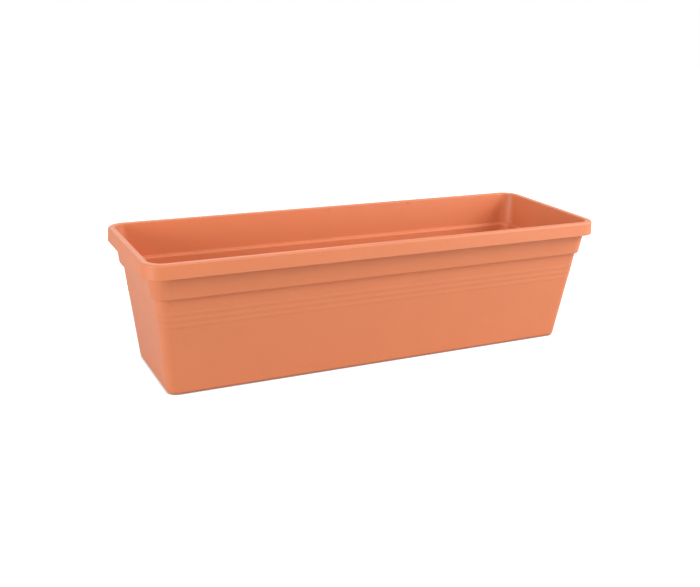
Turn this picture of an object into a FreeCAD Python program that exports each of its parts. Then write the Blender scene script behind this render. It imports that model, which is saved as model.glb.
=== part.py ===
"""Window box planter: a long injection-moulded plastic trough with its four drain plugs.

The trough is one thin-walled moulding. From the top down it has a rim turned over into a
hanging skirt, a tall collar, a step in to the body, three shallow beads round the body and
four walls that lean in to a raised floor on a standing ring. Each plug is a bung that is pushed
down into its own hole in the floor and is pulled out again by its grip.

X runs along the length, the long face at -Y is the front, Z is up. The origin is the middle
of the footprint, on the ground.
"""
import FreeCAD, Part
import os

import Sketcher
from FreeCAD import Vector

os.makedirs("parts", exist_ok=True)
doc = FreeCAD.newDocument("window_box")

# ---------------------------------------------------------------------------------------
# Driving sizes, in millimetres, degrees and counts
# ---------------------------------------------------------------------------------------
SIZES = [
    # the whole box
    ("overall_length", 600.0),
    ("overall_width", 200.0),
    ("overall_height", 164.0),
    ("wall", 2.2),
    ("wall_lean", 6.5),              # draft of the collar and body walls, from upright
    # the rim and its skirt
    ("rim_corner_radius", 22.8),
    ("rim_thickness", 2.4),
    ("skirt_height", 17.0),
    ("skirt_flare", 0.85),           # the skirt's foot stands this far outside its head
    ("rim_outer_round", 2.5),
    ("rim_inner_round", 1.5),
    # the collar under the rim, its drop measured down from the rim's top
    ("collar_inset", 8.3),           # from the skirt's foot in to the collar
    ("collar_corner_radius", 18.6),
    ("collar_drop", 45.0),
    ("collar_step", 4.4),            # from the collar's face in to the body's face
    ("collar_round", 3.5),
    ("ledge_round", 3.1),            # the same step inside, over the body's wall
    # the body and the standing ring
    ("body_corner_radius", 12.6),
    ("base_round", 4.8),
    ("ring_width", 12.0),            # from the body's outer face to the ring's inner edge
    ("ring_height", 4.6),            # the floor's underside above the ground
    ("ring_inner_lean", 4.0),        # how far the ring's inner side leans in as it rises
    ("ring_corner_radius", 9.0),     # at the ring's inner edge
    ("floor_thickness", 2.4),
    # three beads round the body
    ("bead_count", 3),
    ("bead_first_drop", 63.0),
    ("bead_pitch", 7.3),
    ("bead_width", 8.4),             # between a bead's two feet
    ("bead_rise", 0.35),
    ("bead_root", 0.15),             # how deep the feet lie in the wall
    # stiffening webs between the skirt and the collar
    ("web_count", 5),
    ("web_thickness", 1.6),
    ("web_end_margin", 60.0),        # from the rim's end to the first web
    ("web_skirt_gap", 6.0),          # the webs stop this far above the skirt's foot
    # the drains and the ribs between them, under the floor
    ("drain_count", 4),
    ("drain_pitch", 140.0),
    ("drain_radius", 6.0),
    ("floor_rib_thickness", 1.6),
    ("floor_rib_depth", 2.2),
    # the plugs
    ("plug_clearance", 0.06),        # radial, between the shank and its hole
    ("plug_head_radius", 11.0),
    ("plug_head_thickness", 1.8),
    ("plug_ground_clearance", 1.7),  # the shank's end above the ground
    ("plug_core_radius", 3.9),       # the shank is hollow, open below
    ("grip_length", 14.0),
    ("grip_height", 6.5),
    ("grip_thickness", 2.6),
    ("grip_corner_radius", 3.5),
]

sheet = doc.addObject("Spreadsheet::Sheet", "sizes")
for row, (alias, value) in enumerate(SIZES, start=1):
    sheet.set(f"A{row}", alias)
    sheet.set(f"B{row}", str(value))
    sheet.setAlias(f"B{row}", alias)
doc.recompute()


def value_of(expression):
    """The number that an expression on the sheet gives now."""
    return float(sheet.evalExpression(str(expression)))


# ---------------------------------------------------------------------------------------
# Derived sizes, as expressions on the sheet
# A drop is measured down from the rim's top, a level is measured up from the ground, and an
# inset is measured in from the skirt's foot, which is the box's outermost line.
# ---------------------------------------------------------------------------------------
LEAN = "tan(sizes.wall_lean)"
RIM_LEVEL = "sizes.overall_height"
SKIRT_LEVEL = "(sizes.overall_height - sizes.skirt_height)"
RIM_UNDERSIDE = "(sizes.overall_height - sizes.rim_thickness)"
STEP_LEVEL = "(sizes.overall_height - sizes.collar_drop)"
LEDGE_LEVEL = f"({STEP_LEVEL} + sizes.wall)"
GUTTER_LEVEL = "sizes.floor_thickness"
UNDERSIDE_LEVEL = "sizes.ring_height"
FLOOR_LEVEL = "(sizes.ring_height + sizes.floor_thickness)"


def collar_face(level):
    """Inset of the collar's outer face at a level."""
    return f"(sizes.collar_inset + ({SKIRT_LEVEL} - {level}) * {LEAN})"


def body_face(level):
    """Inset of the body's outer face at a level."""
    return f"({collar_face(STEP_LEVEL)} + sizes.collar_step + ({STEP_LEVEL} - {level}) * {LEAN})"


# A round at the step takes at most a share of its width, and one inside the base leaves the
# wall its thickness.
STEP_SHARE = 0.8
STEP_ROUND = f"min(sizes.collar_round; {STEP_SHARE} * sizes.collar_step)"
LEDGE_ROUND = f"min(sizes.ledge_round; {STEP_SHARE} * sizes.collar_step)"
GUTTER_ROUND = "max(sizes.base_round - sizes.wall; sizes.wall / 2)"

# The standing ring's inner side, at the ground and where it meets the floor's underside.
RING_EDGE = f"({body_face('0')} + sizes.ring_width)"
RECESS_EDGE = f"({RING_EDGE} + sizes.ring_inner_lean)"

# The drains stand in one row on the length's axis.
FIRST_DRAIN = "(-(sizes.drain_count - 1) * sizes.drain_pitch / 2)"
DRAIN_SPAN = "((sizes.drain_count - 1) * sizes.drain_pitch)"


# ---------------------------------------------------------------------------------------
# Helpers
# ---------------------------------------------------------------------------------------
def new_body(name):
    body = doc.addObject("PartDesign::Body", name)
    body.Label = name
    return body


def origin_feature(body, role):
    return next(f for f in body.Origin.OriginFeatures if f.Role == role)


def new_sketch(body, name, role="XY_Plane", offset=None):
    """A sketch on one of the body's own origin planes, moved along its normal if asked."""
    sketch = body.newObject("Sketcher::SketchObject", name)
    sketch.AttachmentSupport = [(origin_feature(body, role), "")]
    sketch.MapMode = "FlatFace"
    if offset is not None:
        sketch.setExpression(".AttachmentOffset.Base.z", str(offset))
    return sketch


ORIGIN = (-1, 1)          # the sketch's own origin, as a constraint names it
X_LINE, Y_LINE = -1, -2   # its two axes
START, END = 1, 2


def bind(sketch, kind, places, expression, name):
    """A driving dimension: it starts at the expression's value and follows it."""
    index = sketch.addConstraint(Sketcher.Constraint(kind, *places, value_of(expression)))
    sketch.renameConstraint(index, name)
    sketch.setExpression(f"Constraints.{name}", str(expression))


def pin_point(sketch, line, end, x, y, name):
    """Hold one end of a line at a place measured from the sketch's origin."""
    for kind, expression, axis, tag in (("DistanceX", x, Y_LINE, "x"),
                                        ("DistanceY", y, X_LINE, "y")):
        number = value_of(expression)
        if expression == "0":
            sketch.addConstraint(Sketcher.Constraint("PointOnObject", line, end, axis))
        elif number > 0:
            bind(sketch, kind, (*ORIGIN, line, end), expression, f"{name}_{tag}")
        else:
            bind(sketch, kind, (line, end, *ORIGIN), f"-({expression})", f"{name}_{tag}")


def polygon(sketch, corners):
    """A closed chain of lines through corners given as pairs of expressions."""
    points = [Vector(value_of(x), value_of(y), 0) for x, y in corners]
    following = points[1:] + points[:1]
    lines = [sketch.addGeometry(Part.LineSegment(*ends)) for ends in zip(points, following)]
    for line, after in zip(lines, lines[1:] + lines[:1]):
        sketch.addConstraint(Sketcher.Constraint("Coincident", line, END, after, START))
    for line, (x, y) in zip(lines, corners):
        pin_point(sketch, line, START, x, y, f"corner_{line}")


def rectangle(sketch, middle_x, middle_y, length_x, length_y):
    """A rectangle by its middle and its two lengths."""
    left, right = (f"{middle_x} {sign} ({length_x}) / 2" for sign in "-+")
    low, high = (f"{middle_y} {sign} ({length_y}) / 2" for sign in "-+")
    polygon(sketch, [(left, low), (right, low), (right, high), (left, high)])


def feature_on(body, kind, name, sketch, **sizes):
    """A feature made from one sketch, with its sizes bound."""
    feature = body.newObject(f"PartDesign::{kind}", name)
    feature.Profile = sketch
    for size, expression in sizes.items():
        feature.setExpression(size, str(expression))
    sketch.Visibility = False
    return feature


def pad(body, name, sketch, length):
    """A sketch's area raised along its plane's normal."""
    feature = feature_on(body, "Pad", name, sketch, Length=length)
    doc.recompute()
    return feature


def turned(body, name, kind, sketch):
    """A full turn of a profile about its sketch's upright axis, added or cut away."""
    feature = feature_on(body, kind, name, sketch)
    feature.ReferenceAxis = (sketch, ["V_Axis"])
    feature.Angle = 360
    doc.recompute()
    return feature


def row_along_x(body, name, features, span, count):
    """Copies of features in an even row along X, over a span from the first to the last."""
    pattern = body.newObject("PartDesign::LinearPattern", name)
    pattern.Originals = features
    pattern.Direction = (origin_feature(body, "X_Axis"), [""])
    pattern.setExpression("Length", span)
    pattern.setExpression("Occurrences", count)
    body.Tip = pattern
    doc.recompute()
    return pattern


def fillet(body, name, edges, radius):
    """A round of one radius on the named edges of the body's present shape."""
    base = body.Tip
    feature = body.newObject("PartDesign::Fillet", name)
    feature.Base = (base, edges)
    feature.setExpression("Radius", radius)
    doc.recompute()
    return feature


FLAT = 0.01    # what lies this close to a level or a line is taken to lie on it


def leaning_block(name, low, high, radius):
    """A body with four leaning sides and rounded upright corners.

    low and high are pairs of a level and the inset of the block's sides there.
    """
    body = new_body(name)
    block = body.newObject("PartDesign::AdditiveWedge", f"{name}_sides")
    block.AttachmentSupport = [(origin_feature(body, "XY_Plane"), "")]
    block.MapMode = "FlatFace"
    upright = FreeCAD.Rotation(Vector(1, 0, 0), 90)    # a wedge rises along its own Y
    block.AttachmentOffset = FreeCAD.Placement(Vector(), upright)
    for (level, inset), level_name, share in ((low, "Ymin", ""), (high, "Ymax", "2")):
        block.setExpression(level_name, level)
        for axis, half in (("X", "sizes.overall_length / 2"), ("Z", "sizes.overall_width / 2")):
            block.setExpression(f"{axis}{share}min", f"{inset} - {half}")
            block.setExpression(f"{axis}{share}max", f"{half} - {inset}")
    doc.recompute()
    upright_edges = [f"Edge{number}" for number, edge in enumerate(body.Shape.Edges, start=1)
                     if edge.BoundBox.ZLength > FLAT]
    fillet(body, f"{name}_corners", upright_edges, radius)
    return body


def combine(body, name, kind, others):
    """Other bodies fused to this one or cut from it."""
    feature = body.newObject("PartDesign::Boolean", name)
    feature.Type = kind
    feature.setObjects(others)
    doc.recompute()


def loop_at(shape, level, inset):
    """The edges of the closed loop that lies at one level and one inset."""
    height, inward = value_of(level), value_of(inset)
    half_length = value_of("sizes.overall_length / 2") - inward
    half_width = value_of("sizes.overall_width / 2") - inward
    corner_reach = 2 * value_of("sizes.rim_corner_radius")
    names = []
    for number, edge in enumerate(shape.Edges, start=1):
        box = edge.BoundBox
        if max(abs(box.ZMin - height), abs(box.ZMax - height)) > FLAT:
            continue
        middle = edge.valueAt((edge.FirstParameter + edge.LastParameter) / 2)
        from_end, from_side = half_length - abs(middle.x), half_width - abs(middle.y)
        on_side = abs(from_side) < FLAT or abs(from_end) < FLAT
        on_corner = (0 < from_end < corner_reach and 0 < from_side < corner_reach
                     and all(min(abs(half_length - abs(v.X)), abs(half_width - abs(v.Y))) < FLAT
                             for v in edge.Vertexes))
        if on_side or on_corner:
            names.append(f"Edge{number}")
    return names


def round_loop(body, name, level, inset, radius):
    fillet(body, name, loop_at(body.Shape, level, inset), radius)


def inside(size):
    """The inner face's inset, one wall in from an outer face's."""
    return f"({size} + sizes.wall)"


def inner_corner(radius):
    """The inner face's corner radius, one wall less than the outer face's."""
    return f"({radius} - sizes.wall)"


# ---------------------------------------------------------------------------------------
# The trough: one moulding
# ---------------------------------------------------------------------------------------
def rim_collar_and_walls(trough):
    """The rim with its hollow skirt, the collar below it and the leaning walls, still solid."""
    flare = "(sizes.skirt_flare * (1 - sizes.rim_thickness / sizes.skirt_height))"
    rim = leaning_block("rim", (SKIRT_LEVEL, "0"), (RIM_LEVEL, "sizes.skirt_flare"),
                        "sizes.rim_corner_radius")
    under_rim = leaning_block("under_rim", (SKIRT_LEVEL, "sizes.wall"),
                              (RIM_UNDERSIDE, inside(flare)),
                              inner_corner("sizes.rim_corner_radius"))
    collar = leaning_block("collar", (STEP_LEVEL, collar_face(STEP_LEVEL)),
                           (RIM_LEVEL, collar_face(RIM_LEVEL)), "sizes.collar_corner_radius")
    walls = leaning_block("walls", ("0", body_face("0")), (STEP_LEVEL, body_face(STEP_LEVEL)),
                          "sizes.body_corner_radius")
    combine(trough, "with_rim", "Fuse", [rim])
    combine(trough, "under_the_rim", "Cut", [under_rim])
    combine(trough, "with_walls", "Fuse", [collar, walls])


def beads(trough):
    """Shallow beads round the body: each slopes out of the wall to its crest and back."""
    slopes = []
    for number in range(int(value_of("sizes.bead_count"))):
        level = f"({RIM_LEVEL} - sizes.bead_first_drop - {number} * sizes.bead_pitch)"
        crest = (level, f"({body_face(level)} - sizes.bead_rise)")
        low, high = (f"({level} {sign} sizes.bead_width / 2)" for sign in "-+")
        low_foot, high_foot = ((foot, f"({body_face(foot)} + sizes.bead_root)")
                               for foot in (low, high))
        for side, ends in (("lower", (low_foot, crest)), ("upper", (crest, high_foot))):
            slopes.append(leaning_block(f"bead_{number + 1}_{side}", *ends,
                                        "sizes.body_corner_radius"))
    combine(trough, "with_beads", "Fuse", slopes)


def outer_rounds(trough):
    """The rounds that show outside: round the base, at the collar's foot and on the rim."""
    round_loop(trough, "base_edge", "0", body_face("0"), "sizes.base_round")
    round_loop(trough, "collar_foot_edge", STEP_LEVEL, collar_face(STEP_LEVEL), STEP_ROUND)
    round_loop(trough, "rim_outer_edge", RIM_LEVEL, "sizes.skirt_flare", "sizes.rim_outer_round")


def rim_webs(trough):
    """Thin webs that brace the skirt against the collar, along the sides and on the ends."""
    outer = "(sizes.skirt_flare + sizes.wall / 2)"
    inner = f"({collar_face(SKIRT_LEVEL)} + sizes.wall / 2)"
    middle = f"({outer} + {inner}) / 2"
    depth = f"({inner} - {outer})"
    foot_level = f"({SKIRT_LEVEL} + sizes.web_skirt_gap)"
    height = f"{RIM_LEVEL} - sizes.rim_thickness / 2 - {foot_level}"
    side_plan = new_sketch(trough, "side_web_plan", offset=foot_level)
    end_plan = new_sketch(trough, "end_web_plan", offset=foot_level)
    for sign in "-+":
        rectangle(side_plan, "sizes.web_end_margin - sizes.overall_length / 2",
                  f"{sign}1 * (sizes.overall_width / 2 - {middle})", "sizes.web_thickness", depth)
        rectangle(end_plan, f"{sign}1 * (sizes.overall_length / 2 - {middle})", "0",
                  depth, "sizes.web_thickness")
    first = pad(trough, "side_webs", side_plan, height)
    row_along_x(trough, "side_web_row", [first],
                "sizes.overall_length - 2 * sizes.web_end_margin", "sizes.web_count")
    pad(trough, "end_webs", end_plan, height)


def hollow(trough):
    """The planting space: the same walls again, one wall thickness further in."""
    mouth, ledge_root = inside(collar_face(RIM_LEVEL)), inside(collar_face(LEDGE_LEVEL))
    ledge_nose, gutter = inside(body_face(LEDGE_LEVEL)), inside(body_face(GUTTER_LEVEL))
    collar_space = leaning_block("collar_space", (LEDGE_LEVEL, ledge_root), (RIM_LEVEL, mouth),
                                 inner_corner("sizes.collar_corner_radius"))
    body_space = leaning_block("body_space", (GUTTER_LEVEL, gutter), (LEDGE_LEVEL, ledge_nose),
                               inner_corner("sizes.body_corner_radius"))
    combine(trough, "planting_space", "Cut", [collar_space, body_space])
    round_loop(trough, "rim_inner_edge", RIM_LEVEL, mouth, "sizes.rim_inner_round")
    round_loop(trough, "ledge_nose_edge", LEDGE_LEVEL, ledge_nose, LEDGE_ROUND)
    round_loop(trough, "gutter_edge", GUTTER_LEVEL, gutter, GUTTER_ROUND)


def raised_floor(trough):
    """The floor stands up inside a gutter, over a recess that leaves the standing ring."""
    half_wall = "sizes.wall / 2"
    floor = leaning_block("floor", (GUTTER_LEVEL, f"({RING_EDGE} - {half_wall})"),
                          (FLOOR_LEVEL, f"({RECESS_EDGE} - {half_wall})"),
                          f"(sizes.ring_corner_radius + {half_wall})")
    recess = leaning_block("recess", ("0", RING_EDGE), (UNDERSIDE_LEVEL, RECESS_EDGE),
                           "sizes.ring_corner_radius")
    combine(trough, "with_floor", "Fuse", [floor])
    combine(trough, "floor_recess", "Cut", [recess])


def floor_ribs(trough):
    """Cross ribs under the floor, midway between the drains, from ring to ring."""
    plan = new_sketch(trough, "floor_rib_plan",
                      offset=f"{UNDERSIDE_LEVEL} - sizes.floor_rib_depth")
    rectangle(plan, f"{FIRST_DRAIN} + sizes.drain_pitch / 2", "0",
              "sizes.floor_rib_thickness", f"sizes.overall_width - 2 * {RING_EDGE}")
    rib = pad(trough, "floor_rib", plan, "sizes.floor_rib_depth + sizes.floor_thickness / 2")
    row_along_x(trough, "floor_rib_row", [rib], f"{DRAIN_SPAN} - sizes.drain_pitch",
                "sizes.drain_count - 1")


def drains(trough):
    """A row of round holes through the floor."""
    section = new_sketch(trough, "drain_section", "XZ_Plane")
    section.setExpression(".AttachmentOffset.Base.x", FIRST_DRAIN)
    polygon(section, [("0", "0"), ("sizes.drain_radius", "0"),
                      ("sizes.drain_radius", FLOOR_LEVEL), ("0", FLOOR_LEVEL)])
    drain = turned(trough, "drain", "Groove", section)
    row_along_x(trough, "drain_row", [drain], DRAIN_SPAN, "sizes.drain_count")


def make_trough():
    trough = new_body("trough_shell")
    rim_collar_and_walls(trough)
    beads(trough)
    outer_rounds(trough)
    rim_webs(trough)
    hollow(trough)
    raised_floor(trough)
    floor_ribs(trough)
    drains(trough)
    return trough


# ---------------------------------------------------------------------------------------
# The plugs: a short cored bung under a round head with an upright grip
# ---------------------------------------------------------------------------------------
def make_plug(number):
    """A plug in its own frame, whose origin is on the floor at its hole's centre."""
    plug = new_body(f"drain_plug_{number + 1}")
    length = f"({FLOOR_LEVEL} - sizes.plug_ground_clearance)"
    shank = "(sizes.drain_radius - sizes.plug_clearance)"
    section = new_sketch(plug, f"plug_section_{number + 1}", "XZ_Plane")
    polygon(section, [("0", "0"), ("sizes.plug_core_radius", "0"),
                      ("sizes.plug_core_radius", f"-{length}"), (shank, f"-{length}"),
                      (shank, "0"), ("sizes.plug_head_radius", "0"),
                      ("sizes.plug_head_radius", "sizes.plug_head_thickness"),
                      ("0", "sizes.plug_head_thickness")])
    turned(plug, f"bung_{number + 1}", "Revolution", section)
    grip_top = "(sizes.plug_head_thickness + sizes.grip_height)"
    grip_foot = "(sizes.plug_head_thickness / 2)"
    side = new_sketch(plug, f"grip_side_{number + 1}", "XZ_Plane")
    rectangle(side, "0", f"(({grip_top} + {grip_foot}) / 2)", "sizes.grip_length",
              f"({grip_top} - {grip_foot})")
    grip = pad(plug, f"grip_{number + 1}", side, "sizes.grip_thickness")
    grip.Midplane = True
    doc.recompute()
    upper_corners = [f"Edge{i}" for i, edge in enumerate(plug.Shape.Edges, start=1)
                     if edge.BoundBox.ZMin > value_of(grip_top) - FLAT
                     and edge.BoundBox.XLength < FLAT]
    fillet(plug, f"grip_corners_{number + 1}", upper_corners, "sizes.grip_corner_radius")
    plug.setExpression(".Placement.Base.x", f"{FIRST_DRAIN} + {number} * sizes.drain_pitch")
    plug.setExpression(".Placement.Base.z", FLOOR_LEVEL)
    doc.recompute()
    return plug


trough_shell = make_trough()
drain_plugs = [make_plug(number) for number in range(int(value_of("sizes.drain_count")))]
sub_parts = [trough_shell, *drain_plugs]

# ---------------------------------------------------------------------------------------
# Checks, then one file for each sub-part
# ---------------------------------------------------------------------------------------
doc.recompute()
for item in doc.Objects:
    faults = {"Invalid", "Error"} & set(item.State)
    if faults:
        raise RuntimeError(f"{item.Name} is {', '.join(sorted(faults))}")
for sub_part in sub_parts:
    shape = sub_part.Shape
    if shape.isNull() or not shape.isValid() or len(shape.Solids) != 1:
        raise RuntimeError(f"{sub_part.Label} is not one valid solid")
    print(f"{sub_part.Label}: {shape.Volume / 1000:.1f} cm3, {len(shape.Faces)} faces")
for sub_part in sub_parts:
    sub_part.Shape.exportStep(f"parts/{sub_part.Label}.step")
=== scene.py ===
# %% [markdown]
# # A window box planter of moulded plastic
# This lesson dresses a long terracotta-coloured trough and its four drain plugs. The real box
# is one injection moulding: plastic is pressed into a steel mould as a wall about two
# millimetres thick, so every edge is rounded and every wall leans to let the part out. The CAD
# model gives the sizes, and each visible piece is modelled again here with finer rounds.

# %% Load the CAD frame and measure it
import math

import bmesh
import bpy
from mathutils import Matrix, Vector


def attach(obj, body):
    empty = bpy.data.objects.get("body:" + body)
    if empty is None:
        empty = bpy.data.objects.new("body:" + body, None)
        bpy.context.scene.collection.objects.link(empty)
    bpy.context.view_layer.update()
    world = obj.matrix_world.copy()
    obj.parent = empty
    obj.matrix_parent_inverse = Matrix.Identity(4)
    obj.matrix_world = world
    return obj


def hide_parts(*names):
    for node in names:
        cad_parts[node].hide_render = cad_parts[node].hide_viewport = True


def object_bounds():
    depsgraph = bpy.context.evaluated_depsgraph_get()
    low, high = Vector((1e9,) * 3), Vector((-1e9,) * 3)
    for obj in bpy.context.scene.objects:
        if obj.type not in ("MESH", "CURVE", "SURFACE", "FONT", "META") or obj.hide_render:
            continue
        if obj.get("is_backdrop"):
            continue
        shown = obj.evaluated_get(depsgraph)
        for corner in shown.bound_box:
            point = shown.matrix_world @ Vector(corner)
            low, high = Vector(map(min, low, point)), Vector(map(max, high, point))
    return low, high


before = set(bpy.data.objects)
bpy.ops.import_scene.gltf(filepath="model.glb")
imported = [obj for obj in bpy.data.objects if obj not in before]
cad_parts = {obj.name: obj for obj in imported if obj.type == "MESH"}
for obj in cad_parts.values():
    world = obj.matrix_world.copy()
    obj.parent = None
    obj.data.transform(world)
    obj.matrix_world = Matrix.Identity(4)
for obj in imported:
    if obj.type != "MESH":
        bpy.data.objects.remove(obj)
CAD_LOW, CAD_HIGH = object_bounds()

MM = 0.001
print("CAD box in metres:", [round(v, 4) for v in CAD_HIGH - CAD_LOW])

# %% [markdown]
# ## The camera
# A picture is taken from one place with one lens. The four upright lines of the box lean
# together towards the ground, which says that the camera looks down, and the near end is larger,
# which says how far away it stands. The camera is set by its place, its heading and its tilt,
# with no shift and no depth of field.

# %% Camera
CAMERA_PLACE = Vector((-526.03, -1033.93, 450.36)) * MM
HEADING, TILT, ROLL = math.radians(26.459), math.radians(18.182), math.radians(1.77)
LENS, SENSOR = 48.56, 36.0


def aim(heading, tilt, roll):
    """The turn of a camera that looks along +Y, swung to the right, tipped down and rolled."""
    level = Matrix.Rotation(-heading, 4, "Z") @ Matrix.Rotation(math.pi / 2 - tilt, 4, "X")
    return level @ Matrix.Rotation(roll, 4, "Z")


camera = bpy.data.objects.new("camera", bpy.data.cameras.new("camera"))
bpy.context.collection.objects.link(camera)
camera.data.lens, camera.data.sensor_width = LENS, SENSOR
camera.matrix_world = Matrix.Translation(CAMERA_PLACE) @ aim(HEADING, TILT, ROLL)
camera.data.dof.use_dof = False
bpy.context.scene.camera = camera
bpy.context.scene.view_settings.view_transform = "Standard"
print("camera stands", round((CAMERA_PLACE - (CAD_LOW + CAD_HIGH) / 2).length, 3), "m away")

# %% [markdown]
# ## The light
# A white studio lights a pale product from all round, so shadows are weak. The world gives the
# even light, and five large soft lamps give it a direction: one high over the front, two on the
# right, one on the left and one behind. What the camera itself sees of the world and the floor
# is plain white, which Light Path's Is Camera Ray does without adding light to the object.

# %% World
WORLD_LIGHT = 0.21


def new_node(tree, kind, **values):
    """A shader node with values for its own settings or, by name, for its input sockets."""
    node = tree.nodes.new(kind)
    for name, value in values.items():
        if hasattr(node, name):
            setattr(node, name, value)
        else:
            node.inputs[name.replace("_", " ")].default_value = value
    return node


def chain(tree, *steps):
    """Link sockets in pairs: from, to, from, to."""
    for source, target in zip(steps[::2], steps[1::2]):
        tree.links.new(source, target)


def backdrop_mask(tree, in_gloss=1.0):
    """1 where a camera or transmission ray looks, in_gloss for a glossy ray, 0 for light."""
    path = new_node(tree, "ShaderNodeLightPath")
    dimmed = new_node(tree, "ShaderNodeMath", operation="MULTIPLY")
    dimmed.inputs[1].default_value = in_gloss
    either, any_of = (new_node(tree, "ShaderNodeMath", operation="MAXIMUM") for _ in range(2))
    chain(tree,
          path.outputs["Is Glossy Ray"], dimmed.inputs[0],
          path.outputs["Is Camera Ray"], either.inputs[0],
          path.outputs["Is Transmission Ray"], either.inputs[1],
          either.outputs[0], any_of.inputs[0],
          dimmed.outputs[0], any_of.inputs[1])
    return any_of.outputs[0]


world = bpy.data.worlds.new("white_studio")
bpy.context.scene.world = world
world.use_nodes = True
tree = world.node_tree
tree.nodes.clear()
lit = new_node(tree, "ShaderNodeBackground", Strength=WORLD_LIGHT)
white = new_node(tree, "ShaderNodeBackground", Strength=1.0)
for background in (lit, white):
    background.inputs["Color"].default_value = (1.0, 1.0, 1.0, 1.0)
choose = new_node(tree, "ShaderNodeMixShader")
world_out = new_node(tree, "ShaderNodeOutputWorld")
chain(tree,
      backdrop_mask(tree), choose.inputs[0],
      lit.outputs[0], choose.inputs[1],
      white.outputs[0], choose.inputs[2],
      choose.outputs[0], world_out.inputs["Surface"])
print("world light:", WORLD_LIGHT)

# %% Lamps
BOX_MIDDLE = Vector((0.0, 0.0, 0.08))
LAMP_DISTANCE = 1.8
LAMPS = (    # name, degrees to the right of the front, degrees up, width, height, watts
    ("lamp_over", 0, 65, 1.6, 1.0, 10.6),
    ("lamp_side", 62, 29, 1.0, 0.7, 22.0),
    ("lamp_low", 42, 6, 1.0, 0.4, 6.0),
    ("lamp_left", -70, 10, 1.2, 0.6, 18.6),
    ("lamp_back", 180, 40, 1.4, 0.8, 9.0),
)


def soft_lamp(name, heading, elevation, width, height, power):
    """A rectangular area lamp that faces the box from one side."""
    around, up = math.radians(heading), math.radians(elevation)
    away = Vector((math.sin(around) * math.cos(up), -math.cos(around) * math.cos(up),
                   math.sin(up)))
    lamp = bpy.data.lights.new(name, "AREA")
    lamp.shape, lamp.size, lamp.size_y, lamp.energy = "RECTANGLE", width, height, power
    shown = bpy.data.objects.new(name, lamp)
    shown.location = BOX_MIDDLE + LAMP_DISTANCE * away
    shown.rotation_mode = "QUATERNION"
    shown.rotation_quaternion = (-away).to_track_quat("-Z", "Y")
    bpy.context.collection.objects.link(shown)


for lamp_row in LAMPS:
    soft_lamp(*lamp_row)
print("lamps:", [row[0] for row in LAMPS])

# %% [markdown]
# ## The floor
# The box stands on a sheet of pale board. For the camera and for reflections the board also
# glows, which lifts it to white. The glow fades where the board is hidden in the narrow gap
# below the box, so that a fine contact shadow stays. The board's underside is clear, so that the
# box can be looked at from below.

# %% Floor
FLOOR_SIZE, BOARD_GREY, BOARD_GLOW, CONTACT = 8.0, 0.5, 0.9, 0.003
IN_GLOSS = 0.4    # the board looks greyer in the box's gloss than it does to the camera

floor_mesh = bmesh.new()
bmesh.ops.create_grid(floor_mesh, x_segments=1, y_segments=1, size=FLOOR_SIZE / 2)
floor = bpy.data.objects.new("studio_floor", bpy.data.meshes.new("studio_floor"))
floor_mesh.to_mesh(floor.data)
floor_mesh.free()
bpy.context.collection.objects.link(floor)

board = bpy.data.materials.new("white_board")
board.use_nodes = True
tree = board.node_tree
tree.nodes.clear()
matt = new_node(tree, "ShaderNodeBsdfDiffuse", Color=(BOARD_GREY, BOARD_GREY, BOARD_GREY, 1.0))
glow = new_node(tree, "ShaderNodeEmission", Color=(1.0, 1.0, 1.0, 1.0))
gap = new_node(tree, "ShaderNodeAmbientOcclusion", Distance=CONTACT)
amount = new_node(tree, "ShaderNodeMath", operation="MULTIPLY")
amount.inputs[1].default_value = BOARD_GLOW
strength = new_node(tree, "ShaderNodeMath", operation="MULTIPLY")
both = new_node(tree, "ShaderNodeAddShader")
board_out = new_node(tree, "ShaderNodeOutputMaterial")
chain(tree,
      gap.outputs["AO"], amount.inputs[0],
      amount.outputs[0], strength.inputs[0],
      backdrop_mask(tree, IN_GLOSS), strength.inputs[1],
      strength.outputs[0], glow.inputs["Strength"],
      matt.outputs[0], both.inputs[0],
      glow.outputs[0], both.inputs[1])
side = new_node(tree, "ShaderNodeNewGeometry")
clear = new_node(tree, "ShaderNodeBsdfTransparent")
from_below = new_node(tree, "ShaderNodeMixShader")
chain(tree,
      side.outputs["Backfacing"], from_below.inputs[0],
      both.outputs[0], from_below.inputs[1],
      clear.outputs[0], from_below.inputs[2],
      from_below.outputs[0], board_out.inputs["Surface"])
floor.data.materials.append(board)
floor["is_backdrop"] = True
print("floor is", FLOOR_SIZE, "m wide")

# %% [markdown]
# ## The plastic
# Terracotta planters are polypropylene coloured right through with a pigment. The surface is
# satin: it scatters most light, with a broad weak gloss. Seen close it isn't one flat colour.
# The pigment swirls a little where the plastic flowed, and the mould was textured with a fine
# grain; the paler edges are a painted highlight. Each of these effects is a node group that
# puts out a mask or a normal, so that the trough and the plugs can share it with their own
# amounts.

# %% Node group: pigment that varies a little
def new_group(name, inputs, outputs):
    """A shader node group with its sockets made, and its two end nodes."""
    group = bpy.data.node_groups.new(name, "ShaderNodeTree")
    for direction, sockets in (("INPUT", inputs), ("OUTPUT", outputs)):
        for label, kind, value in sockets:
            socket = group.interface.new_socket(name=label, in_out=direction,
                                                socket_type=f"NodeSocket{kind}")
            if value is not None:
                socket.default_value = value
    return group, group.nodes.new("NodeGroupInput"), group.nodes.new("NodeGroupOutput")


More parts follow.
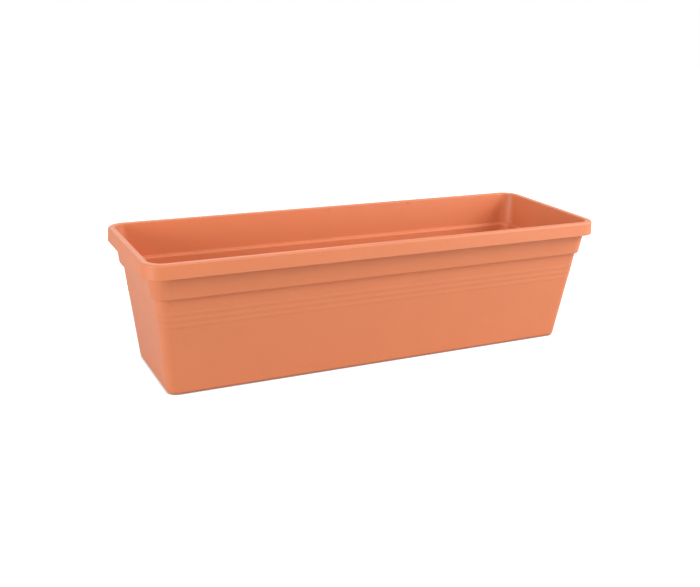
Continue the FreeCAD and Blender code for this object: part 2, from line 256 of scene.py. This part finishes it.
pigment, given, result = new_group(
    "pigment_variation",
    [("Colour", "Color", (0.7, 0.2, 0.1, 1.0)), ("Cloud Size", "Float", 0.06),
     ("Amount", "Float", 0.015), ("Speckle", "Float", 0.02)],
    [("Colour", "Color", None)])
place = new_node(pigment, "ShaderNodeTexCoord")
scale = new_node(pigment, "ShaderNodeMath", operation="DIVIDE")
scale.inputs[0].default_value = 1.0
clouds = new_node(pigment, "ShaderNodeTexNoise", Detail=3.0, Roughness=0.55, Distortion=0.4)
grains = new_node(pigment, "ShaderNodeTexNoise", Scale=900.0, Detail=2.0)
cloud_shade = new_node(pigment, "ShaderNodeMapRange", From_Min=0.3, From_Max=0.7)
grain_shade = new_node(pigment, "ShaderNodeMapRange", From_Min=0.35, From_Max=0.65)
low, high = (new_node(pigment, "ShaderNodeMath", operation=op) for op in ("SUBTRACT", "ADD"))
grain_low, grain_high = (new_node(pigment, "ShaderNodeMath", operation=op)
                         for op in ("SUBTRACT", "ADD"))
for node in (low, high, grain_low, grain_high):
    node.inputs[0].default_value = 1.0
together = new_node(pigment, "ShaderNodeMath", operation="MULTIPLY")
shade = new_node(pigment, "ShaderNodeVectorMath", operation="SCALE")
chain(pigment,
      given.outputs["Cloud Size"], scale.inputs[1], scale.outputs[0], clouds.inputs["Scale"],
      place.outputs["Object"], clouds.inputs["Vector"],
      place.outputs["Object"], grains.inputs["Vector"],
      given.outputs["Amount"], low.inputs[1], given.outputs["Amount"], high.inputs[1],
      given.outputs["Speckle"], grain_low.inputs[1], given.outputs["Speckle"],
      grain_high.inputs[1],
      clouds.outputs["Fac"], cloud_shade.inputs["Value"], low.outputs[0],
      cloud_shade.inputs["To Min"], high.outputs[0], cloud_shade.inputs["To Max"],
      grains.outputs["Fac"], grain_shade.inputs["Value"], grain_low.outputs[0],
      grain_shade.inputs["To Min"], grain_high.outputs[0], grain_shade.inputs["To Max"],
      cloud_shade.outputs[0], together.inputs[0], grain_shade.outputs[0], together.inputs[1],
      given.outputs["Colour"], shade.inputs[0], together.outputs[0], shade.inputs["Scale"],
      shade.outputs[0], result.inputs["Colour"])
print("group:", pigment.name)

# %% Node group: painted edge highlight
painted_highlight, given, result = new_group(
    "painted_edge_highlight",
    [("Colour", "Color", (0.7, 0.2, 0.1, 1.0)), ("Edge Colour", "Color", (0.9, 0.4, 0.2, 1.0)),
     ("Reach", "Float", 0.0015), ("Amount", "Float", 0.5)],
    [("Colour", "Color", None), ("Mask", "Float", None)])
# Painted highlight: edges that the Bevel node finds, convex and concave alike, are painted paler
# in patches, as if they caught the light.
form = new_node(painted_highlight, "ShaderNodeNewGeometry")
softened = new_node(painted_highlight, "ShaderNodeBevel", samples=6)
alike = new_node(painted_highlight, "ShaderNodeVectorMath", operation="DOT_PRODUCT")
edge = new_node(painted_highlight, "ShaderNodeMapRange", From_Min=0.985, From_Max=0.90)
place = new_node(painted_highlight, "ShaderNodeTexCoord")
patches = new_node(painted_highlight, "ShaderNodeTexNoise", Scale=60.0, Detail=4.0)
patchy = new_node(painted_highlight, "ShaderNodeMapRange", From_Min=0.35, From_Max=0.6)
highlit, dosed = (new_node(painted_highlight, "ShaderNodeMath", operation="MULTIPLY") for _ in range(2))
tint = new_node(painted_highlight, "ShaderNodeMix", data_type="RGBA")
chain(painted_highlight,
      given.outputs["Reach"], softened.inputs["Radius"],
      softened.outputs["Normal"], alike.inputs[0], form.outputs["Normal"], alike.inputs[1],
      alike.outputs["Value"], edge.inputs["Value"],
      place.outputs["Object"], patches.inputs["Vector"],
      patches.outputs["Fac"], patchy.inputs["Value"],
      edge.outputs[0], highlit.inputs[0], patchy.outputs[0], highlit.inputs[1],
      highlit.outputs[0], dosed.inputs[0], given.outputs["Amount"], dosed.inputs[1],
      dosed.outputs[0], tint.inputs["Factor"],
      given.outputs["Colour"], tint.inputs["A"], given.outputs["Edge Colour"], tint.inputs["B"],
      tint.outputs["Result"], result.inputs["Colour"], dosed.outputs[0], result.inputs["Mask"])
print("group:", painted_highlight.name)

# %% Node group: the mould's grain
grain, given, result = new_group(
    "mould_grain",
    [("Grain Size", "Float", 0.0009), ("Ripple Size", "Float", 0.03),
     ("Ripple Share", "Float", 0.5)],
    [("Height", "Float", None)])
place = new_node(grain, "ShaderNodeTexCoord")
fine_scale, wide_scale = (new_node(grain, "ShaderNodeMath", operation="DIVIDE")
                          for _ in range(2))
for node in (fine_scale, wide_scale):
    node.inputs[0].default_value = 1.0
fine = new_node(grain, "ShaderNodeTexNoise", Detail=2.0, Roughness=0.6)
wide = new_node(grain, "ShaderNodeTexNoise", Detail=1.0)
mix = new_node(grain, "ShaderNodeMath", operation="MULTIPLY_ADD")
chain(grain,
      given.outputs["Grain Size"], fine_scale.inputs[1], fine_scale.outputs[0],
      fine.inputs["Scale"], given.outputs["Ripple Size"], wide_scale.inputs[1],
      wide_scale.outputs[0], wide.inputs["Scale"],
      place.outputs["Object"], fine.inputs["Vector"],
      place.outputs["Object"], wide.inputs["Vector"],
      wide.outputs["Fac"], mix.inputs[0], given.outputs["Ripple Share"], mix.inputs[1],
      fine.outputs["Fac"], mix.inputs[2], mix.outputs[0], result.inputs["Height"])
print("group:", grain.name)

# %% [markdown]
# The material puts the groups to work. The pigment feeds the painted edge highlight, which
# feeds Base Color, and the grain is the height of a Bump node. Sheen and coat would look like
# cloth and varnish, so the satin look comes from roughness alone, with a little of the ripple in
# it.

# %% Moulded plastic
def use_group(tree, group, **values):
    """A shader node group placed in a material, with its inputs set."""
    node = tree.nodes.new("ShaderNodeGroup")
    node.node_tree = group
    for name, value in values.items():
        node.inputs[name.replace("_", " ")].default_value = value
    return node


PLASTIC_IOR, EDGE_HIGHLIGHT, GRAIN_STRENGTH = 1.46, 0.35, 0.12
SMOOTHER, ROUGHER = 0.05, 0.06    # how far the ripple moves the roughness each way


def moulded_plastic(name, colour, edge_highlight_colour, roughness, grain_depth):
    """Satin polypropylene in one pigment."""
    plastic = bpy.data.materials.new(name)
    plastic.use_nodes = True
    plastic.diffuse_color = (*colour, 1.0)
    tree = plastic.node_tree
    shader = tree.nodes["Principled BSDF"]
    shader.inputs["IOR"].default_value = PLASTIC_IOR
    body = use_group(tree, pigment, Colour=(*colour, 1.0))
    # The paler edge colour and its amount are a painted highlight along the rounded edges.
    edges = use_group(tree, painted_highlight, Edge_Colour=(*edge_highlight_colour, 1.0), Amount=EDGE_HIGHLIGHT)
    texture = use_group(tree, grain)
    bump = new_node(tree, "ShaderNodeBump", Strength=GRAIN_STRENGTH, Distance=grain_depth)
    gloss = new_node(tree, "ShaderNodeMapRange", To_Min=roughness - SMOOTHER,
                     To_Max=roughness + ROUGHER)
    chain(tree,
          body.outputs["Colour"], edges.inputs["Colour"],
          edges.outputs["Colour"], shader.inputs["Base Color"],
          texture.outputs["Height"], bump.inputs["Height"],
          bump.outputs["Normal"], shader.inputs["Normal"],
          texture.outputs["Height"], gloss.inputs["Value"],
          gloss.outputs[0], shader.inputs["Roughness"])
    return plastic


# The second colour of each pair is the painted highlight laid on the edges.
TERRACOTTA, TERRACOTTA_EDGE_HIGHLIGHT = (0.735, 0.229, 0.098), (0.84, 0.36, 0.21)
PLUG_COLOUR, PLUG_EDGE_HIGHLIGHT = (0.62, 0.19, 0.09), (0.74, 0.3, 0.17)
trough_plastic = moulded_plastic("terracotta_polypropylene", TERRACOTTA, TERRACOTTA_EDGE_HIGHLIGHT,
                                 0.4, 0.0003)
plug_plastic = moulded_plastic("plug_polypropylene", PLUG_COLOUR, PLUG_EDGE_HIGHLIGHT, 0.42, 0.0002)
print("materials:", [m.name for m in bpy.data.materials])

# %% [markdown]
# ## The trough's outlines
# Seen from above, every level of the trough is the same figure: a long rectangle with rounded
# corners. So the moulding is a stack of such outlines, each with its own inset from the box's
# outermost line, its own level and its own corner radius. An outline starts as one square
# face from create_grid, a bevel of its four corners rounds it, and the face is then removed so
# that only its edge is left.

# %% One rounded outline
HALF_LENGTH, HALF_WIDTH, HEIGHT = 300.0, 100.0, 164.0
CORNER_STEPS = 20


def outline(bm, inset, level, corner):
    """The edges of a rounded rectangle at one level. Sizes are in millimetres."""
    old_edges = set(bm.edges)
    size = Matrix.Diagonal(((HALF_LENGTH - inset) * MM, (HALF_WIDTH - inset) * MM, 1.0, 1.0))
    square = bmesh.ops.create_grid(bm, x_segments=1, y_segments=1, size=1.0,
                                   matrix=Matrix.Translation((0, 0, level * MM)) @ size)
    bmesh.ops.bevel(bm, geom=square["verts"], offset=corner * MM, offset_type="OFFSET",
                    segments=CORNER_STEPS, profile=0.5, affect="VERTICES", material=-1)
    edges = [e for e in bm.edges if e not in old_edges]
    face = edges[0].link_faces[0]
    bmesh.ops.delete(bm, geom=[face], context="FACES_ONLY")
    return edges


test = bmesh.new()
print("edges in one outline:", len(outline(test, 0.0, 0.0, 20.0)))
test.free()

# %% [markdown]
# ## The trough's section
# The stack follows the wall's section all the way round: up the outside from the standing ring
# to the rim, over the rim, and down the inside to the raised floor. Each row below is one sharp
# corner of that section with the radius of its own round, and the rounds are cut later by
# bevelling, as a toolmaker first cuts the form and then breaks its edges.

# %% Section of the moulding
WALL = 2.2
LEAN = math.tan(math.radians(6.5))
SKIRT_FOOT, RIM_UNDERSIDE, STEP, LEDGE = 147.0, 161.6, 119.0, 121.2
GUTTER, UNDERSIDE, FLOOR_LEVEL = 2.4, 4.6, 7.0
SKIRT_FLARE, COLLAR_INSET, STEP_WIDTH = 0.85, 8.3, 4.4
RIM_CORNER, COLLAR_CORNER, BODY_CORNER, RING_CORNER = 22.8, 18.6, 12.6, 9.0
RING_WIDTH, RING_LEAN = 12.0, 4.0
BEAD_DROPS, BEAD_HALF, BEAD_RISE = (63.0, 70.3, 77.6), 2.9, 0.36


def collar_face(level):
    """Inset of the collar's outer face at a level."""
    return COLLAR_INSET + (SKIRT_FOOT - level) * LEAN


def body_face(level):
    """Inset of the body's outer face at a level."""
    return collar_face(STEP) + STEP_WIDTH + (STEP - level) * LEAN


def section():
    """Rows of name, inset, level, corner radius and the radius of the round."""
    ring, recess = body_face(0) + RING_WIDTH, body_face(0) + RING_WIDTH + RING_LEAN
    inner_flare = SKIRT_FLARE * (1 - (HEIGHT - RIM_UNDERSIDE) / (HEIGHT - SKIRT_FOOT))
    rows = [("recess_ceiling", recess, UNDERSIDE, RING_CORNER, 0.8),
            ("ring_inner_foot", ring, 0.0, RING_CORNER, 0.6),
            ("base", body_face(0), 0.0, BODY_CORNER, 4.8)]
    for number, drop in reversed(list(enumerate(BEAD_DROPS, start=1))):
        crest = HEIGHT - drop
        for part, level, rise, soft in (("low", crest - BEAD_HALF, 0.0, 9.0),
                                        ("crest", crest, BEAD_RISE, 12.0),
                                        ("high", crest + BEAD_HALF, 0.0, 9.0)):
            rows.append((f"bead_{number}_{part}", body_face(level) - rise, level,
                         BODY_CORNER, soft))
    rows += [("step_root", body_face(STEP), STEP, BODY_CORNER, 0.9),
             ("collar_foot", collar_face(STEP), STEP, COLLAR_CORNER, 3.5),
             ("under_rim_root", collar_face(RIM_UNDERSIDE), RIM_UNDERSIDE, COLLAR_CORNER, 0.8),
             ("skirt_root", WALL + inner_flare, RIM_UNDERSIDE, RIM_CORNER - WALL, 0.8),
             ("skirt_inner_foot", WALL, SKIRT_FOOT, RIM_CORNER - WALL, 0.5),
             ("skirt_foot", 0.0, SKIRT_FOOT, RIM_CORNER, 0.6),
             ("rim_outside", SKIRT_FLARE, HEIGHT, RIM_CORNER, 2.5),
             ("rim_inside", collar_face(HEIGHT) + WALL, HEIGHT, COLLAR_CORNER - WALL, 1.5),
             ("ledge_root", collar_face(LEDGE) + WALL, LEDGE, COLLAR_CORNER - WALL, 1.2),
             ("ledge_nose", body_face(LEDGE) + WALL, LEDGE, BODY_CORNER - WALL, 3.1),
             ("gutter", body_face(GUTTER) + WALL, GUTTER, BODY_CORNER - WALL, 2.6),
             ("floor_foot", ring - WALL / 2, GUTTER, RING_CORNER + WALL / 2, 0.8),
             ("floor_edge", recess - WALL / 2, FLOOR_LEVEL, RING_CORNER + WALL / 2, 1.2)]
    return rows


SECTION = section()
print("corners in the section:", len(SECTION))

# %% [markdown]
# ## Skin the section
# bridge_loops joins each outline to the next with a band of faces. It pairs the points well
# only where one outline lies clear above the other, and several rows of the section share a
# level, so the outlines are first stacked as a tall tower, joined, and then brought to their
# own levels. The first and last are closed with a flat face each: the recess under the floor
# and the floor itself.

# %% Bridge the outlines
TOWER_STEP = 20.0


def band(bm, lower, upper):
    """The faces between two outlines."""
    return bmesh.ops.bridge_loops(bm, edges=lower + upper)["faces"]


shell = bmesh.new()
loops = {name: outline(shell, inset, storey * TOWER_STEP, corner)
         for storey, (name, inset, _, corner, _) in enumerate(SECTION)}
names = [row[0] for row in SECTION]
for lower, upper in zip(names, names[1:]):
    band(shell, loops[lower], loops[upper])
for name in (names[0], names[-1]):
    bmesh.ops.contextual_create(shell, geom=loops[name])
for storey, (name, _, level, _, _) in enumerate(SECTION):
    points = list({v for e in loops[name] for v in e.verts})
    bmesh.ops.translate(shell, verts=points, vec=(0, 0, (level - storey * TOWER_STEP) * MM))
print("bands:", len(names) - 1, "faces:", len(shell.faces))

# %% [markdown]
# ## Round the edges
# A round of radius r between two faces that turn by an angle takes r times the tangent of half
# that angle from each face, and that is the offset that bevel wants. The turn is measured on
# the mesh, so the same rule serves the rim's square edge and the beads' slight crests.

# %% Bevel every loop by its own radius
FEWEST_STEPS, DEGREES_A_STEP = 3, 11


def turn_at(edges):
    """The angle between the two bands that meet at a loop, on its longest edge."""
    longest = max(edges, key=lambda e: e.calc_length())
    return longest.calc_face_angle()


def round_loop(bm, edges, radius):
    """Round a whole loop. A large turn gets more steps."""
    turn = turn_at(edges)
    steps = max(FEWEST_STEPS, round(math.degrees(turn) / DEGREES_A_STEP))
    bmesh.ops.bevel(bm, geom=edges, offset=radius * math.tan(turn / 2) * MM,
                    offset_type="OFFSET", segments=steps, profile=0.5, affect="EDGES",
                    material=-1)
    return steps


for name, _, _, _, radius in SECTION:
    steps = round_loop(shell, loops[name], radius)
bmesh.ops.recalc_face_normals(shell, faces=shell.faces)
print("faces after rounding:", len(shell.faces), "open edges:",
      sum(1 for e in shell.edges if not e.is_manifold))

# %% [markdown]
# ## Webs, ribs and drains
# Under the rim, thin webs join the hanging skirt to the collar, so that the box can be carried
# by its rim. Under the floor, three ribs cross the recess. Water leaves through four round
# holes. Webs and ribs are joined to the moulding, and holes are cut from it, by exact Boolean
# modifiers whose result is kept as the mesh.

# %% Helpers for cutters and joined forms
def block(bm, middle, size):
    """A box by its middle and its lengths, in millimetres."""
    place = Matrix.Translation(Vector(middle) * MM)
    return bmesh.ops.create_cube(bm, size=1.0, matrix=place @ Matrix.Diagonal(
        (*(length * MM for length in size), 1.0)))["verts"]


def hidden_object(name, bm):
    """A helper object that a Boolean modifier reads, removed again afterwards."""
    helper = bpy.data.objects.new(name, bpy.data.meshes.new(name))
    bm.to_mesh(helper.data)
    bm.free()
    bpy.context.collection.objects.link(helper)
    return helper


def boolean(target, operation, helper):
    """Join or cut one object with another, keep the result and remove the helper."""
    step = target.modifiers.new(operation.lower(), "BOOLEAN")
    step.operation, step.solver, step.object = operation, "EXACT", helper
    bpy.context.view_layer.update()
    made = bpy.data.meshes.new_from_object(
        target.evaluated_get(bpy.context.evaluated_depsgraph_get()))
    target.modifiers.clear()
    old, target.data = target.data, made
    bpy.data.meshes.remove(old)
    bpy.data.objects.remove(helper)


trough = hidden_object("trough_moulding", shell)

# %% Webs and ribs
WEB, WEB_FOOT = 1.6, 153.0
SIDE_WEB_PLACES = (-240.0, -120.0, 0.0, 120.0, 240.0)
RIB_PLACES, RIB_DEPTH = (-140.0, 0.0, 140.0), 2.2
OVERLAP, WEB_ROUND = 1.2, 0.35    # webs and ribs reach into the moulding that carries them

stiffeners = bmesh.new()
web_out, web_in = SKIRT_FLARE + WALL / 2, collar_face(SKIRT_FOOT) + WALL / 2
web_inset, web_depth = (web_out + web_in) / 2, web_in - web_out
web_level = (WEB_FOOT + RIM_UNDERSIDE + OVERLAP) / 2
web_height = RIM_UNDERSIDE + OVERLAP - WEB_FOOT
for side in (-1, 1):
    for x in SIDE_WEB_PLACES:
        block(stiffeners, (x, side * (HALF_WIDTH - web_inset), web_level),
              (WEB, web_depth, web_height))
    block(stiffeners, (side * (HALF_LENGTH - web_inset), 0, web_level),
          (web_depth, WEB, web_height))
rib_length = 2 * (HALF_WIDTH - body_face(0) - RING_WIDTH)
for x in RIB_PLACES:
    block(stiffeners, (x, 0, UNDERSIDE - RIB_DEPTH / 2 + OVERLAP / 2),
          (WEB, rib_length, RIB_DEPTH + OVERLAP))
edges = [e for e in stiffeners.edges if abs(e.verts[0].co.z - e.verts[1].co.z) < 1e-6]
low_edges = [e for e in edges if min(v.co.z for v in e.verts) < (WEB_FOOT + 0.1) * MM]
bmesh.ops.bevel(stiffeners, geom=low_edges, offset=WEB_ROUND * MM, offset_type="OFFSET",
                segments=3, profile=0.5, affect="EDGES", material=-1)
boolean(trough, "UNION", hidden_object("stiffeners", stiffeners))
print("faces with webs and ribs:", len(trough.data.polygons))

# %% Drains
DRAIN_PLACES, DRAIN_RADIUS, DRAIN_BREAK = (-210.0, -70.0, 70.0, 210.0), 6.0, 0.35
POST_END = 2.0    # how far a post stands out below the ground and above the floor


def drain_cutter(bm, x):
    """An upright post that widens a little where it leaves the floor."""
    disc = bmesh.ops.create_circle(bm, cap_ends=True, segments=64, radius=DRAIN_RADIUS * MM,
                                   matrix=Matrix.Translation((x * MM, 0, -POST_END * MM)))
    top = disc["verts"][0].link_faces[0]
    for rise, widen in ((FLOOR_LEVEL + POST_END - DRAIN_BREAK, 0.0), (DRAIN_BREAK, DRAIN_BREAK),
                        (POST_END, 0.0)):
        lifted = bmesh.ops.extrude_discrete_faces(bm, faces=[top])["faces"]
        top = lifted[0]
        bmesh.ops.translate(bm, verts=top.verts, vec=(0, 0, rise * MM))
        grow = 1 + widen / DRAIN_RADIUS
        bmesh.ops.scale(bm, verts=top.verts, vec=(grow, grow, 1),
                        space=Matrix.Translation((-x * MM, 0, 0)))


posts = bmesh.new()
for x in DRAIN_PLACES:
    drain_cutter(posts, x)
bmesh.ops.holes_fill(posts, edges=[e for e in posts.edges if e.is_boundary])
bmesh.ops.recalc_face_normals(posts, faces=posts.faces)
print("posts:", len(posts.faces), "open edges:", sum(1 for e in posts.edges if not e.is_manifold))
boolean(trough, "DIFFERENCE", hidden_object("drain_posts", posts))
print("faces with drains:", len(trough.data.polygons))

# %% [markdown]
# ## Finish a piece
# Every face is shaded smooth, and only edges that turn sharply are marked to stay crisp. The
# Weighted Normal modifier then lets each large flat face keep its own direction, so that the
# small rounds beside it don't bend the light on it.

# %% Finish the trough
CRISP = math.radians(32)
MERGE, NO_LENGTH = 0.000002, 0.000001    # metres
FLAT_FACE_WEIGHT = 80


def finish_piece(piece, material, body, node):
    """Shade a piece, give it its plastic and tie it to the CAD model."""
    bm = bmesh.new()
    bm.from_mesh(piece.data)
    bmesh.ops.remove_doubles(bm, verts=bm.verts, dist=MERGE)
    bmesh.ops.dissolve_degenerate(bm, edges=bm.edges, dist=NO_LENGTH)
    for face in bm.faces:
        face.smooth = True
    for edge in bm.edges:
        edge.smooth = edge.is_manifold and edge.calc_face_angle() < CRISP
    open_edges = sum(1 for e in bm.edges if not e.is_manifold)
    bm.to_mesh(piece.data)
    bm.free()
    piece.data.materials.clear()
    piece.data.materials.append(material)
    weighted = piece.modifiers.new("flat_faces_stay_flat", "WEIGHTED_NORMAL")
    weighted.keep_sharp, weighted.weight = True, FLAT_FACE_WEIGHT
    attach(piece, body)
    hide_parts(node)
    print(piece.name, "faces:", len(piece.data.polygons), "open edges:", open_edges)


finish_piece(trough, trough_plastic, "trough", "trough_shell")

# %% [markdown]
# ## The plugs
# Each plug is a bung. Its section is drawn as a line on one side of the axis and turned
# once round with spin, then its rims are rounded with bevel. The grip is a flat tab that two
# fingers can hold, with a shallow hollow on each side, joined to the bung's head.

# %% One plug
SHANK_RADIUS, CORE_RADIUS, SHANK_FOOT = 5.94, 3.9, 1.7
HEAD_RADIUS, HEAD_TOP = 11.0, 8.8
GRIP_LENGTH, GRIP_THICKNESS, GRIP_TOP, GRIP_CORNER = 14.0, 2.6, 15.3, 3.5
TURN_STEPS = 72
BUNG_ROUNDS = ((HEAD_RADIUS, HEAD_TOP, 0.7), (HEAD_RADIUS, FLOOR_LEVEL, 0.3),
               (SHANK_RADIUS, SHANK_FOOT, 0.6), (CORE_RADIUS, SHANK_FOOT, 0.3))
HOLLOW_MARGIN, HOLLOW_SLOPE, HOLLOW_DEPTH, GRIP_ROUND = 1.4, 0.5, 0.45, 0.3


def ring_edges(bm, radius, level):
    """The edges of the circle with this radius at this level."""
    def on_ring(vertex):
        out = math.hypot(vertex.co.x, vertex.co.y)
        return abs(out - radius * MM) < 1e-6 and abs(vertex.co.z - level * MM) < 1e-6
    return [e for e in bm.edges if all(on_ring(v) for v in e.verts)]


def bung():
    """The turned part of a plug, on the Z axis."""
    bm = bmesh.new()
    points = [(0, HEAD_TOP), (HEAD_RADIUS, HEAD_TOP), (HEAD_RADIUS, FLOOR_LEVEL),
              (SHANK_RADIUS, FLOOR_LEVEL), (SHANK_RADIUS, SHANK_FOOT),
              (CORE_RADIUS, SHANK_FOOT), (CORE_RADIUS, FLOOR_LEVEL), (0, FLOOR_LEVEL)]
    line = [bm.verts.new((x * MM, 0, z * MM)) for x, z in points]
    for start, end in zip(line, line[1:]):
        bm.edges.new((start, end))
    bmesh.ops.spin(bm, geom=bm.verts[:] + bm.edges[:], cent=(0, 0, 0), axis=(0, 0, 1),
                   dvec=(0, 0, 0), angle=2 * math.pi, steps=TURN_STEPS, use_merge=True)
    bmesh.ops.remove_doubles(bm, verts=bm.verts, dist=1e-7)
    bmesh.ops.recalc_face_normals(bm, faces=bm.faces)
    for radius, level, size in BUNG_ROUNDS:
        bmesh.ops.bevel(bm, geom=ring_edges(bm, radius, level), offset=size * MM,
                        offset_type="OFFSET", segments=4, profile=0.5, affect="EDGES",
                        material=-1)
    return bm


def grip():
    """The tab of a plug: its two upper corners round, a hollow pressed into each side."""
    bm = bmesh.new()
    foot = (HEAD_TOP + FLOOR_LEVEL) / 2
    block(bm, (0, 0, (GRIP_TOP + foot) / 2), (GRIP_LENGTH, GRIP_THICKNESS, GRIP_TOP - foot))
    corners = [e for e in bm.edges if all(v.co.z > HEAD_TOP * MM for v in e.verts)
               and abs(e.verts[0].co.x - e.verts[1].co.x) < 1e-6]
    bmesh.ops.bevel(bm, geom=corners, offset=GRIP_CORNER * MM, offset_type="OFFSET", segments=8,
                    profile=0.5, affect="EDGES", material=-1)
    sides = [f for f in bm.faces if abs(f.normal.y) > 0.99]
    bmesh.ops.inset_individual(bm, faces=sides, thickness=HOLLOW_MARGIN * MM, depth=0.0)
    bmesh.ops.inset_individual(bm, faces=sides, thickness=HOLLOW_SLOPE * MM,
                               depth=-HOLLOW_DEPTH * MM)
    rims = [e for e in bm.edges if 0.6 < e.calc_face_angle() < 1.7]
    bmesh.ops.bevel(bm, geom=rims, offset=GRIP_ROUND * MM, offset_type="OFFSET",
                    segments=3, profile=0.5, affect="EDGES", material=-1)
    return bm


for number, x in enumerate(DRAIN_PLACES, start=1):
    plug = hidden_object(f"plug_{number}_bung", bung())
    boolean(plug, "UNION", hidden_object("grip", grip()))
    plug.data.transform(Matrix.Translation((x * MM, 0, 0)))
    finish_piece(plug, plug_plastic, f"plug_{number}", f"drain_plug_{number}")

# %% Sizes and finish
LOW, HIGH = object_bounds()
sizes = {"cad": [list(CAD_LOW), list(CAD_HIGH)], "visual": [list(LOW), list(HIGH)]}
for label, (low, high) in sizes.items():
    print(label, [round(1000 * v, 2) for v in (*low, *high)])
